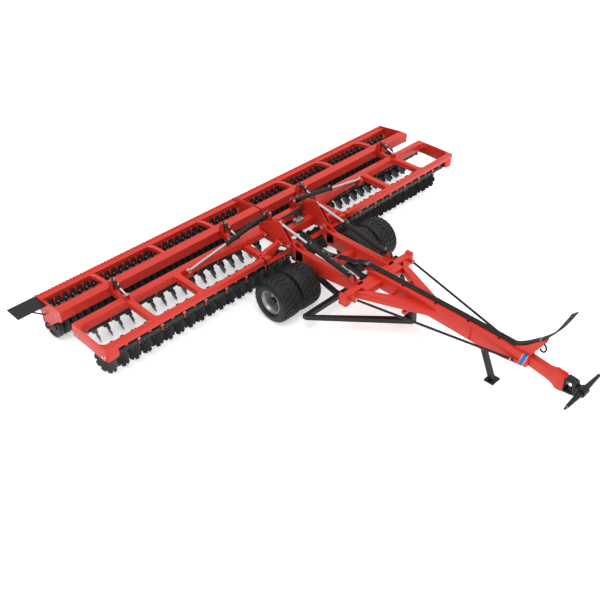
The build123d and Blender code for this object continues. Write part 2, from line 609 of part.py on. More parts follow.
# Centre tower: two pairs of plates on the tilt pivot, with the hinges of both wings
with BuildPart() as tower:
    tower_outline = [
        (-185, 930), (-160, 880), (-100, 862), (300, 800), (690, 800), (690, 1080),
        (240, 1350), (110, 1365), (75, 1290), (-170, 990),
    ]
    for side in (-1, 1):
        side_plate(span(side, *TOWER_INNER), tower_outline)
        side_plate(span(side, *TOWER_OUTER), tower_outline)
        block(span(side, 470, 540), (150, 640), (800, 860))
        bar_along_x(span(side, RAIL_X[0] + 24, TOWER_INNER[1]), TILT_Y, TILT_Z, 60)
        bar_along_x(span(side, RAIL_X[0] + 20, TOWER_INNER[1] + 1), TILT_Y, TILT_Z, TILT_PIN_RADIUS + SKIN,
                    Mode.SUBTRACT)
        for ear in ((5, 23), (117, 135), (445, 463), (617, 635)):
            block(span(side, 550, HINGE_X), ear, (HINGE_Z - 50, HINGE_Z + 50))
            bar_along_y(ear, side * HINGE_X, HINGE_Z, 50)
        bar_along_y((10, 130), side * HINGE_X, HINGE_Z, HINGE_PIN_RADIUS)
        bar_along_y((450, 630), side * HINGE_X, HINGE_Z, HINGE_PIN_RADIUS)
        for ear in ((FOLD_Y - 42, FOLD_Y - 29), (FOLD_Y + 15, FOLD_Y + 28)):
            front_plate(ear, [
                (side * 270, 1050), (side * 400, 1050), (side * 375, 1250), (side * 350, 1275), (side * 310, 1275),
                (side * 290, 1250),
            ])
        bar_along_y((FOLD_Y - 42, FOLD_Y + 28), side * FOLD_BASE[0], FOLD_BASE[1], 20)
    block((-460, 460), (180, 330), (820, 1000))
    block((-460, 460), (560, 690), (900, 1060))
keep(tower.part, "tower")

make_wheels()
make_wing()
make_roller_frame()
make_roller()
make_cylinders()
make_disc_row("front_discs", 0, DISC_PITCH, -1)
make_disc_row("rear_discs", REAR_BEAM_Y, DISC_PITCH, 1)

# Board with its strut on the right end of the roller frame
with BuildPart() as side_board:
    block((-5250, -HALF_WIDTH - 5 - SKIN), (1720, 2090), (790, 808))
    round_bar((-5050, 1880, 795), (-HALF_WIDTH - 14.5, 1800, 560), 14)
keep(side_board.part, "side_board")
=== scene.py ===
import json
from math import cos, pi, radians, sin

import bmesh
import bpy
from mathutils import Matrix, Vector

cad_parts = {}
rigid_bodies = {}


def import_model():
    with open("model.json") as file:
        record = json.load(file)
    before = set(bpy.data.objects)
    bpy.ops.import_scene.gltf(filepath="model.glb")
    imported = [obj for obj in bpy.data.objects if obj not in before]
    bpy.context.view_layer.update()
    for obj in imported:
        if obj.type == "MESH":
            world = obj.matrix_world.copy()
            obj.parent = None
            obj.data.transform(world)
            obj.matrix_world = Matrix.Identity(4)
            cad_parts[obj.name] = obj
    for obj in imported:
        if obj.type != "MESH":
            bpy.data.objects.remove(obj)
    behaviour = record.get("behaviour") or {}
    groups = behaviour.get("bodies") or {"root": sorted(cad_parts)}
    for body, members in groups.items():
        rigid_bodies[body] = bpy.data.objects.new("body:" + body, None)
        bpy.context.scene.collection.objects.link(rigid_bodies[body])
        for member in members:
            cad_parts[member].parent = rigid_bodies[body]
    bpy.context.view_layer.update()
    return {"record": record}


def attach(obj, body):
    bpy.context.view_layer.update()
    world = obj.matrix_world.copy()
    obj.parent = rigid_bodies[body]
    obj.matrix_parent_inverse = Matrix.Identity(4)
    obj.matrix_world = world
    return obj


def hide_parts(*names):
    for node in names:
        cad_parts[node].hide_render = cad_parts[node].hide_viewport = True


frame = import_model()

# The camera stands high in front of the machine's right side, where the long drawbar comes
# towards it and the wings run away to both sides.
camera_place = Vector((-9.556, -3.307, 8.949))
camera_azimuth = radians(-45.287)
camera_height = radians(38.120)
focal_pixels = 820.714
picture_pixels = 600
camera_data = bpy.data.cameras.new("camera")
camera_data.sensor_width = 36
camera_data.lens = focal_pixels / picture_pixels * camera_data.sensor_width
camera_data.clip_start = 0.1
camera_data.clip_end = 200
camera = bpy.data.objects.new("camera", camera_data)
back = Vector((
    sin(camera_azimuth) * cos(camera_height),
    -cos(camera_azimuth) * cos(camera_height),
    sin(camera_height),
))
right = Vector((cos(camera_azimuth), sin(camera_azimuth), 0))
facing = Matrix((right, back.cross(right), back)).transposed().to_4x4()
camera.matrix_world = Matrix.Translation(camera_place) @ facing
bpy.context.scene.collection.objects.link(camera)
bpy.context.scene.camera = camera

# Hydraulic rubber: a matt black cover with a fine cloth-like grain and a faint dusty bloom.
# Places below are given over the ground under the drawbar eye, and datum moves them to the frame.
datum = Vector((0, 6.030, -0.790))


def new_material(name):
    made = bpy.data.materials.new(name)
    made.use_nodes = True
    return made, made.node_tree.nodes, made.node_tree.links, made.node_tree.nodes["Principled BSDF"]


def finish(name, colour, roughness, spread=0.07, cloud_scale=1.7, grain_scale=160, grain_depth=0.0006,
           metal=0, gloss=0.5):
    """A surface with slow shifts of tone and a fine grain."""
    made, nodes, links, shader = new_material(name)
    place = nodes.new("ShaderNodeTexCoord")
    cloud = nodes.new("ShaderNodeTexNoise")
    cloud.inputs["Scale"].default_value = cloud_scale
    cloud.inputs["Detail"].default_value = 5
    links.new(place.outputs["Object"], cloud.inputs["Vector"])
    tint = nodes.new("ShaderNodeMix")
    tint.data_type = "RGBA"
    tint.inputs["A"].default_value = (*[c * (1 - spread) for c in colour], 1)
    tint.inputs["B"].default_value = (*[min(1, c * (1 + spread)) for c in colour], 1)
    links.new(cloud.outputs["Fac"], tint.inputs["Factor"])
    links.new(tint.outputs["Result"], shader.inputs["Base Color"])
    dull = nodes.new("ShaderNodeMapRange")
    dull.inputs["To Min"].default_value = roughness - 0.06
    dull.inputs["To Max"].default_value = roughness + 0.08
    links.new(cloud.outputs["Fac"], dull.inputs["Value"])
    links.new(dull.outputs["Result"], shader.inputs["Roughness"])
    grain = nodes.new("ShaderNodeTexNoise")
    grain.inputs["Scale"].default_value = grain_scale
    grain.inputs["Detail"].default_value = 2
    links.new(place.outputs["Object"], grain.inputs["Vector"])
    bump = nodes.new("ShaderNodeBump")
    bump.inputs["Strength"].default_value = 0.15
    bump.inputs["Distance"].default_value = grain_depth
    links.new(grain.outputs["Fac"], bump.inputs["Height"])
    links.new(bump.outputs["Normal"], shader.inputs["Normal"])
    shader.inputs["Metallic"].default_value = metal
    shader.inputs["Specular IOR Level"].default_value = gloss
    return made


rubber = finish("rubber", (0.007, 0.007, 0.0075), 0.50, 0.15, 3, 420, 0.0008, gloss=0.35)

# Four free hose ends that spring up from the mast over the drawbar. They are braided hydraulic
# hose 26 mm thick, stiff enough to stand up by themselves, and each shows over its whole length.
hose_diameter = 0.026
lane_pitch, tip_pitch = 0.030, 0.060


def tube_curve(name, points, radius, roundness, resolution=12):
    """A NURBS curve over control points, with a round section and closed ends."""
    curve = bpy.data.curves.new(name, "CURVE")
    curve.dimensions = "3D"
    curve.bevel_depth = radius
    curve.bevel_resolution = roundness
    curve.resolution_u = resolution
    curve.use_fill_caps = True
    spline = curve.splines.new("NURBS")
    spline.points.add(len(points) - 1)
    for point, spot in zip(spline.points, points):
        point.co = (*spot, 1)
    spline.order_u = 3
    spline.use_endpoint_u = True
    return curve


for lane in range(4):
    across = (lane - 1.5) * lane_pitch
    spread = (lane - 1.5) * tip_pitch
    route = [
        Vector(p) + datum for p in (
            (across, -5.225, 1.390), (across, -5.3224, 1.490), (spread, -5.480, 1.772 - 0.016 * lane),
            (spread, -5.600, 2.130 - 0.022 * lane),
        )
    ]
    hose_curve = tube_curve(f"hose_{lane + 1}", route, hose_diameter / 2, 5)
    hose = bpy.data.objects.new(f"hose_{lane + 1}", hose_curve)
    bpy.context.scene.collection.objects.link(hose)
    hose_curve.materials.append(rubber)
    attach(hose, "chassis")
    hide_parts(f"hose_end_{lane + 1}")

# Paint and steel of the welded frames. Red and black are satin enamel with a fine ripple, disc
# steel is a dark scale with a sheen, rods are hard chrome and fittings are zinc.
red_paint = finish("red_paint", (0.57, 0.023, 0.010), 0.40, gloss=0.4)
black_paint = finish("black_paint", (0.008, 0.008, 0.009), 0.40, 0.12, gloss=0.3)
disc_steel = finish("disc_steel", (0.020, 0.020, 0.022), 0.42, 0.25, 6, gloss=0.3)
roller_grey = finish("roller_grey", (0.022, 0.022, 0.024), 0.48, 0.25, 4, gloss=0.35)
rim_silver = finish("rim_silver", (0.42, 0.42, 0.43), 0.30, 0.05, 5, 240, 0.0004, metal=0.75)
chrome = finish("chrome", (0.66, 0.66, 0.68), 0.14, 0.03, 2, 90, 0.0001, metal=1)
zinc = finish("zinc", (0.60, 0.60, 0.59), 0.34, 0.12, 20, 300, 0.0004, metal=1)
blue_band = finish("blue_band", (0.020, 0.090, 0.360), 0.40)
finishes = {
    "red_paint": red_paint, "black_paint": black_paint, "disc_steel": disc_steel, "dark_steel": roller_grey,
    "rim_silver": rim_silver, "tyre_rubber": rubber, "hose_rubber": rubber, "rod_chrome": chrome,
}
for subpart in frame["record"]["subparts"]:
    shown = bpy.data.objects[subpart["node"]]
    shown.data.materials.clear()
    shown.data.materials.append(finishes[subpart["material_slot"]])

# Tyres: balloon-shaped flotation tyres with low curved tread bars that run from the crown over
# the shoulder, and a moulded rib on the sidewall. Each side has two that turn as one.


def form(name, bm, crease=35):
    """A mesh with its faces outward, smooth except where it turns by more than the crease."""
    bmesh.ops.remove_doubles(bm, verts=bm.verts, dist=1e-6)
    bmesh.ops.recalc_face_normals(bm, faces=bm.faces)
    made = bpy.data.meshes.new(name)
    bm.to_mesh(made)
    bm.free()
    made.shade_smooth()
    made.set_sharp_from_angle(angle=radians(crease))
    return made


def lathe(name, loop, steps, crease=35):
    """A closed loop of (x, radius) turned about the X axis."""
    bm = bmesh.new()
    turns = [2 * pi * step / steps for step in range(steps)]
    rings = [[bm.verts.new((x, r * cos(a), r * sin(a))) for x, r in loop] for a in turns]
    for ring, following in zip(rings, rings[1:] + rings[:1]):
        for k in range(len(loop)):
            bm.faces.new((ring[k - 1], ring[k], following[k], following[k - 1]))
    return form(name, bm, crease)


def joined(name, meshes):
    """Several meshes as one."""
    bm = bmesh.new()
    for mesh in meshes:
        bm.from_mesh(mesh)
    made = bpy.data.meshes.new(name)
    bm.to_mesh(made)
    bm.free()
    return made


def repeat(name, unit, places, material):
    """Copies of one mesh at many places, made by geometry nodes and kept as one plain mesh."""
    cloud = bpy.data.meshes.new(name + "_places")
    cloud.from_pydata([place.translation for place in places], [], [])
    turns = cloud.attributes.new("turn", "QUATERNION", "POINT")
    for value, place in zip(turns.data, places):
        value.value = place.to_quaternion()
    unit_object = bpy.data.objects.new(name + "_unit", unit)
    group = bpy.data.node_groups.new(name + "_copies", "GeometryNodeTree")
    group.interface.new_socket("Geometry", in_out="INPUT", socket_type="NodeSocketGeometry")
    group.interface.new_socket("Geometry", in_out="OUTPUT", socket_type="NodeSocketGeometry")
    start = group.nodes.new("NodeGroupInput")
    end = group.nodes.new("NodeGroupOutput")
    turn = group.nodes.new("GeometryNodeInputNamedAttribute")
    turn.data_type = "QUATERNION"
    turn.inputs["Name"].default_value = "turn"
    source = group.nodes.new("GeometryNodeObjectInfo")
    source.inputs["Object"].default_value = unit_object
    instances = group.nodes.new("GeometryNodeInstanceOnPoints")
    real = group.nodes.new("GeometryNodeRealizeInstances")
    coat = group.nodes.new("GeometryNodeSetMaterial")
    coat.inputs["Material"].default_value = material
    group.links.new(start.outputs["Geometry"], instances.inputs["Points"])
    group.links.new(source.outputs["Geometry"], instances.inputs["Instance"])
    group.links.new(turn.outputs["Attribute"], instances.inputs["Rotation"])
    group.links.new(instances.outputs["Instances"], real.inputs["Geometry"])
    group.links.new(real.outputs["Geometry"], coat.inputs["Geometry"])
    group.links.new(coat.outputs["Geometry"], end.inputs["Geometry"])
    holder = bpy.data.objects.new(name + "_holder", cloud)
    bpy.context.scene.collection.objects.link(holder)
    holder.modifiers.new("copies", "NODES").node_group = group
    made = bpy.data.meshes.new_from_object(holder.evaluated_get(bpy.context.evaluated_depsgraph_get()))
    bpy.data.objects.remove(holder)
    bpy.data.objects.remove(unit_object)
    return made


def piece(name, mesh, body, material, replaced=()):
    """One object of the model, from a mesh given over the ground."""
    mesh.transform(Matrix.Translation(datum))
    mesh.materials.clear()
    mesh.materials.append(material)
    made = bpy.data.objects.new(name, mesh)
    bpy.context.scene.collection.objects.link(made)
    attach(made, body)
    if replaced:
        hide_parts(*replaced)
    return made


def copies(name, unit, places, body, material, replaced=()):
    """One object of the model that is made of copies of a mesh at many places."""
    return piece(name, repeat(name, unit, places, material), body, material, replaced)


def outward(side):
    """Degrees about Z that turn a piece drawn along +X towards its side of the machine."""
    return 0 if side > 0 else 180


def at(x, y, z, turn_x=0, turn_y=0, turn_z=0):
    """A place over the ground with turns in degrees, X first."""
    turned = Matrix.Rotation(radians(turn_z), 4, "Z") @ Matrix.Rotation(radians(turn_y), 4, "Y")
    return Matrix.Translation((x, y, z)) @ turned @ Matrix.Rotation(radians(turn_x), 4, "X")


hands = (("right", -1), ("left", 1))
axle_y, axle_z = -0.660, 0.4325
tyre_middles = (0.855, 1.355)
shoulder = [
    (0.205, 0.239), (0.222, 0.258), (0.234, 0.280), (0.238, 0.286), (0.243, 0.291), (0.245, 0.312),
    (0.244, 0.336), (0.239, 0.359), (0.229, 0.377), (0.214, 0.391), (0.190, 0.402), (0.153, 0.408),
    (0.109, 0.4105), (0.055, 0.412),
]
near_side = [(-0.205, 0.2335)] + [(-x, r) for x, r in shoulder]
tyre_loop = near_side + [(0, 0.4125)] + shoulder[::-1] + [(0.205, 0.2335)]
carcass = lathe("tyre_carcass", tyre_loop, 96)
tread_bar = bmesh.new()
crown = [(0, 0.4125)] + shoulder[:7:-1]
rows = []
for step, (x, r) in enumerate(crown):
    share = step / (len(crown) - 1)
    lead = radians(21) * share ** 1.7
    half = radians(2.9 + 1.2 * share)
    height = 0.0195 * (1 - 0.45 * share ** 3)
    foot, top = r - 0.006, r + height
    rows.append([
        tread_bar.verts.new((x + 0.004 * (1 - share), radius * sin(angle), radius * cos(angle)))
        for angle, radius in (
            (lead - half, foot), (lead - half * 0.72, top), (lead + half * 0.72, top), (lead + half, foot),
        )
    ])
for row, following in zip(rows, rows[1:]):
    for k in range(4):
        tread_bar.faces.new((row[k - 1], row[k], following[k], following[k - 1]))
tread_bar.faces.new(rows[0])
tread_bar.faces.new(rows[-1])
tread_bar = form("tread_bar", tread_bar, 30)
bar_count = 24
bar_places = []
for step in range(bar_count):
    bar_places.append(at(0, 0, 0, 360 / bar_count * step))
    bar_places.append(at(0, 0, 0, 360 / bar_count * (step + 0.5)) @ at(0, 0, 0, 0, 0, 180))
bars = repeat("tread", tread_bar, bar_places, rubber)
tyre = joined("tyre", [carcass, bars])
for hand, side in hands:
    places = [at(side * middle, axle_y, axle_z, 0, 0, outward(side)) for middle in tyre_middles]
    copies(f"balloon_tyres_{hand}", tyre, places, f"wheels_{hand}", rubber, [f"tyres_{hand}"])

# Rims: deep silver dishes with a rolled lip, a drop centre and a pressed wheel disc, held by a
# ring of ten nuts round a dark hub with a domed cap.
rim_loop = [
    (0.198, 0.2335), (0.206, 0.233), (0.208, 0.226), (0.203, 0.219), (0.180, 0.214), (0.160, 0.200),
    (0.090, 0.192), (0.030, 0.190), (0.006, 0.182), (-0.004, 0.165), (0.000, 0.140), (-0.010, 0.124),
    (-0.012, 0.060), (-0.022, 0.060), (-0.020, 0.124), (-0.012, 0.142), (-0.016, 0.170), (-0.012, 0.190),
    (-0.010, 0.205), (-0.160, 0.212), (-0.203, 0.219), (-0.208, 0.226), (-0.206, 0.233), (-0.198, 0.2335),
    (-0.150, 0.2310), (0.150, 0.2310),
]
rim = lathe("rim", rim_loop, 72, 40)
hub_loop = [
    (-0.240, 0), (-0.240, 0.080), (-0.030, 0.085), (-0.005, 0.085), (0.002, 0.080), (0.002, 0.066),
    (0.140, 0.062), (0.152, 0.054), (0.158, 0.040), (0.158, 0),
]
hub = lathe("hub", hub_loop, 32, 30)
nut_loop = [(0, 0), (0, 0.0135), (0.012, 0.0135), (0.015, 0.011), (0.015, 0.007), (0.024, 0.007), (0.025, 0)]
nut = lathe("nut", nut_loop, 6, 30)
for hand, side in hands:
    turn = outward(side)
    places = [at(side * middle, axle_y, axle_z, 0, 0, turn) for middle in tyre_middles]
    copies(f"dished_rims_{hand}", rim, places, f"wheels_{hand}", rim_silver, [f"rims_{hand}"])
    copies(f"wheel_hubs_{hand}", hub, places, f"wheels_{hand}", black_paint)
    nuts = [place @ at(-0.011, 0, 0, 36 * step) @ at(0, 0.1025, 0) for place in places for step in range(10)]
    copies(f"wheel_nuts_{hand}", nut, nuts, f"wheels_{hand}", zinc)

# Discs: dished and notched, 510 mm across, each on its own hub at the end of a curved arm. They
# lean one way in the front row and the other way in the rear row.
disc_radius, dish_depth, disc_thick, hub_hole = 0.255, 0.046, 0.006, 0.045
notch_count, notch_depth, notch_share = 10, 0.036, 0.42
disc_face = bmesh.new()
spokes, rings = 120, 9
sides = []
for offset in (0, disc_thick):
    grid = []
    for step in range(spokes):
        angle = 2 * pi * step / spokes
        phase = (step / spokes * notch_count) % 1
        lobe = min(1, abs(phase - 0.5) * 2 / notch_share)
        edge = disc_radius - notch_depth * (1 - lobe * lobe * (3 - 2 * lobe))
        column = []
        for ring in range(rings):
            r = hub_hole + (edge - hub_hole) * ring / (rings - 1)
            lift = dish_depth * (r / disc_radius) ** 2 - dish_depth + 0.010
            thin = offset * (0.35 if ring == rings - 1 else 1)
            column.append(disc_face.verts.new((lift - thin, r * cos(angle), r * sin(angle))))
        grid.append(column)
    sides.append(grid)
for step in range(spokes):
    ahead = (step + 1) % spokes
    for front in sides:
        for ring in range(rings - 1):
            disc_face.faces.new((front[step][ring], front[ahead][ring], front[ahead][ring + 1],
                                 front[step][ring + 1]))
    for ring in (0, rings - 1):
        disc_face.faces.new((sides[0][step][ring], sides[0][ahead][ring], sides[1][ahead][ring],
                             sides[1][step][ring]))
disc = form("disc", disc_face, 30)
hub_front = lathe("hub_front", [
    (-0.060, 0), (-0.060, 0.040), (-0.040, 0.058), (-0.030, 0.058), (-0.024, 0.052), (-0.014, 0.050),
    (0.000, 0.032), (0.006, 0.020), (0.006, 0),
], 24, 35)
disc_bolt = lathe("disc_bolt", [(0, 0), (0, 0.009), (0.006, 0.009), (0.008, 0.007), (0.008, 0)], 6, 30)


def slab(axis, low, high, outline, bevel=0.004):
    """An outline in the two other axes, drawn out from low to high along one axis, with rounded edges."""
    along, first, second = {"x": (0, 1, 2), "y": (1, 0, 2), "z": (2, 0, 1)}[axis]
    bm = bmesh.new()
    ends = []
    for level in (low, high):
        ends.append([])
        for a, b in outline:
            spot = Vector((0, 0, 0))
            spot[along], spot[first], spot[second] = level, a, b
            ends[-1].append(bm.verts.new(spot))
        bm.faces.new(ends[-1])
    near, far = ends
    for k in range(len(outline)):
        bm.faces.new((near[k - 1], near[k], far[k], far[k - 1]))
    bmesh.ops.recalc_face_normals(bm, faces=bm.faces)
    hard = [edge for edge in bm.edges if edge.calc_face_angle(0) > radians(25)]
    bmesh.ops.bevel(bm, geom=hard, offset=bevel, segments=2, profile=0.5, affect="EDGES", clamp_overlap=True)
    return form("slab", bm, 30)


def box(x, y, z, bevel=0.004):
    """A bar between two levels on each axis."""
    return slab("x", *sorted(x), [(y[0], z[0]), (y[0], z[1]), (y[1], z[1]), (y[1], z[0])], bevel)


def rounded(outline, times=2):
    """An outline with its corners cut a number of times over, which makes them round."""
    for _ in range(times):
        outline = [
            tuple(a + (b - a) * share for a, b in zip(start, end))
            for start, end in zip(outline, outline[1:] + outline[:1]) for share in (0.25, 0.75)
        ]
    return outline


arm = slab("x", -0.015, 0.015, rounded([
    (-0.049, 0.606), (-0.049, 0.704), (0.049, 0.704), (0.075, 0.620), (0.180, 0.500), (0.300, 0.400),
    (0.385, 0.290), (0.360, 0.218), (0.300, 0.225), (0.270, 0.330), (0.150, 0.430), (0.050, 0.540),
    (0.040, 0.606),
]))
clamp = box((-0.029, 0.029), (-0.050, 0.050), (0.605, 0.705), 0.012)
segment = box((-0.233, 0.233), (-0.045, 0.045), (0.610, 0.700), 0.010)
inner_bar = box((-2.226, 2.226), (-0.025, 0.025), (0.630, 0.680))
disc_pitch, hub_back, hub_height, arm_offset = 0.244, 0.340, 0.262, 0.066
first_hanger, hanger_pitch = 0.122, 0.488
front_y, rear_y = 0, 0.810
rows = (
    ("front", "right", front_y, -4.487, 18, 1), ("front", "left", front_y, 0.149, 18, 1),
    ("rear", "right", rear_y, -4.153, 17, -1), ("rear", "left", rear_y, 0.239, 18, -1),
)
for place, hand, row_y, first_x, count, lean in rows:
    body = f"wing_{hand}"
    side = -1 if hand == "right" else 1
    turn, tip = radians(17.5), radians(8)
    normal = Vector((-lean * cos(turn) * cos(tip), -sin(turn) * cos(tip), sin(tip)))
    facing = normal.to_track_quat("X", "Z").to_matrix().to_4x4()
    centres = [
        Matrix.Translation((first_x + disc_pitch * step, row_y + hub_back, hub_height))
        for step in range(count)
    ]
    discs = repeat(f"discs_{place}_{hand}", disc, [
        centre @ facing @ at(0, 0, 0, 13 * step) for step, centre in enumerate(centres)
    ], disc_steel)
    piece(f"dished_discs_{place}_{hand}", discs, body, disc_steel, [f"{place}_discs_{hand}"])
    hubs = repeat(f"hubs_{place}_{hand}", hub_front, [centre @ facing for centre in centres], black_paint)
    piece(f"disc_hubs_{place}_{hand}", hubs, body, black_paint)
    bolts = repeat(f"bolts_{place}_{hand}", disc_bolt, [
        centre @ facing @ at(-0.034, 0, 0, 72 * step) @ at(0, 0.062, 0)
        for centre in centres for step in range(5)
    ], zinc)
    piece(f"disc_bolts_{place}_{hand}", bolts, body, zinc)
    arm_places = [
        Matrix.Translation((first_x + disc_pitch * step + lean * arm_offset, row_y, 0))
        for step in range(count)
    ]
    arms = repeat(f"arms_{place}_{hand}", arm, arm_places, black_paint)
    clamps = repeat(f"clamps_{place}_{hand}", clamp, arm_places, black_paint)
    piece(f"disc_arms_{place}_{hand}", joined("arms", [arms, clamps]), body, black_paint)
    middles = [
        Matrix.Translation((side * (first_hanger + (step + 0.5) * hanger_pitch), row_y, 0))
        for step in range(9)
    ]
    segments = repeat(f"segments_{place}_{hand}", segment, middles, black_paint)
    bar = inner_bar.copy()
    bar.transform(Matrix.Translation((side * 2.318, row_y, 0)))
    piece(f"torsion_tubes_{place}_{hand}", joined("tubes", [segments, bar]), body, black_paint)

# Roller: rings of U-shaped steel, each with two raised ribs and a hollow between them, on a core
# tube. A flanged bearing with four bolts carries its shaft at the outer end.
roller_y, roller_z = 1.830, 0.284
first_ring, ring_pitch, ring_count = 0.100, 0.150, 31
ring_xs = [first_ring + ring_pitch * step for step in range(ring_count)]
pad_xs = [first_ring + ring_pitch * (step + 0.5) for step in range(ring_count - 1)]
ring_loop = [
    (-0.047, 0.252), (-0.046, 0.272), (-0.040, 0.279), (-0.028, 0.2795), (-0.020, 0.270), (-0.010, 0.262),
    (0.010, 0.262), (0.020, 0.270), (0.028, 0.2795), (0.040, 0.279), (0.046, 0.272), (0.047, 0.252),
    (0.030, 0.240), (0.012, 0.200), (0.010, 0.135), (-0.010, 0.135), (-0.012, 0.200), (-0.030, 0.240),
]
ring = lathe("roller_ring", ring_loop, 48, 30)
core = lathe("roller_core", [(0, 0), (0, 0.140), (4.580, 0.140), (4.580, 0)], 40, 30)
shaft = lathe("roller_shaft", [(0, 0), (0, 0.034), (4.670, 0.034), (4.670, 0)], 24, 30)
bearing = lathe("bearing", [
    (0, 0.036), (0, 0.082), (0.010, 0.082), (0.014, 0.070), (0.026, 0.060), (0.030, 0.050), (0.030, 0.036),
], 32, 30)
bolt = lathe("bolt", [
    (0, 0), (0, 0.020), (0.003, 0.020), (0.003, 0.014), (0.014, 0.014), (0.016, 0.012), (0.016, 0),
], 6, 30)
for hand, side in hands:
    ring_places = [Matrix.Translation((side * x, roller_y, roller_z)) for x in ring_xs]
    rings = repeat(f"rings_{hand}", ring, ring_places, roller_grey)
    turn = outward(side)
    bars = []
    for start, mesh in ((0.060, core), (0.025, shaft)):
        placed = mesh.copy()
        placed.transform(at(side * start, roller_y, roller_z, 0, 0, turn))
        bars.append(placed)
    piece(f"ring_roller_{hand}", joined("roller", [rings, *bars]), f"roller_{hand}",
          roller_grey, [f"roller_{hand}"])
    outer_face = at(side * 4.7055, roller_y, roller_z, 0, 0, turn)
    copies(f"roller_bearing_{hand}", bearing, [outer_face], f"roller_frame_{hand}",
           black_paint)
    bolts = [outer_face @ at(0.008, 0, 0, 45 + 90 * step) @ at(0, 0.066, 0) for step in range(4)]
    copies(f"bearing_bolts_{hand}", bolt, bolts, f"roller_frame_{hand}", zinc)

# Scrapers: wide dark pads on a deep plate under the rear tube, each narrowed to a hardened tip
# that reaches in between two rings, with a red bracket between every pair of pads.
pad = joined("pad", [
    slab("y", 1.892, 1.912, [
        (-0.055, 0.740), (0.055, 0.740), (0.055, 0.610), (0.020, 0.570), (-0.020, 0.570), (-0.055, 0.610),
    ]),
    slab("x", -0.020, 0.020, [
        (1.904, 0.620), (1.9295, 0.620), (1.922, 0.500), (1.900, 0.437), (1.886, 0.440), (1.902, 0.500),
    ]),
])
rib = slab("x", -0.014, 0.014, [
    (1.884, 0.740), (1.884, 0.640), (1.905, 0.590), (1.925, 0.590), (1.925, 0.740),
], 0.003)
for hand, side in hands:
    body = f"roller_frame_{hand}"
    pads = [Matrix.Translation((side * x, 0, 0)) for x in pad_xs]
    plate = box((side * 0.060, side * 4.640), (1.910, 1.9297), (0.560, 0.725))
    piece(f"scraper_pads_{hand}", joined("pads", [plate, repeat(f"pads_{hand}", pad, pads, roller_grey)]),
          body, roller_grey, [f"scrapers_{hand}"])
    ribs = [Matrix.Translation((side * x, 0, 0)) for x in ring_xs]
    copies(f"scraper_ribs_{hand}", rib, ribs, body, red_paint)

# Roller frame fittings: a bolt at each scraper's pad, the row of pressed brackets that hook over
# the rear tube's upper rear edge, and the bolts of the end plates.
first_grip, grip_pitch, grip_count = 0.062, 0.075, 62
bracket = slab("x", -0.024, 0.024, rounded([
    (-0.060, 0.058), (-0.030, 0.078), (0.020, 0.076), (0.046, 0.050), (0.046, 0.000), (0.010, -0.020),
], 2), 0.003)
for hand, side in hands:
    body = f"roller_frame_{hand}"
    bolts = [at(side * x, 1.892, 0.630, 0, 0, -90) for x in pad_xs]
    copies(f"scraper_bolts_{hand}", bolt, bolts, body, zinc)
    grips = [
        Matrix.Translation((side * (first_grip + grip_pitch * step), 2.075, 0.742))
        for step in range(grip_count)
    ]
    copies(f"scraper_grips_{hand}", bracket, grips, body, red_paint)
    plate_bolts = [
        at(side * 4.7045, y, z, 0, 0, outward(side))
        for y, z in ((1.290, 0.860), (1.390, 0.760), (2.010, 0.760), (2.010, 0.700))
    ]
    copies(f"end_plate_bolts_{hand}", bolt, plate_bolts, body, zinc)

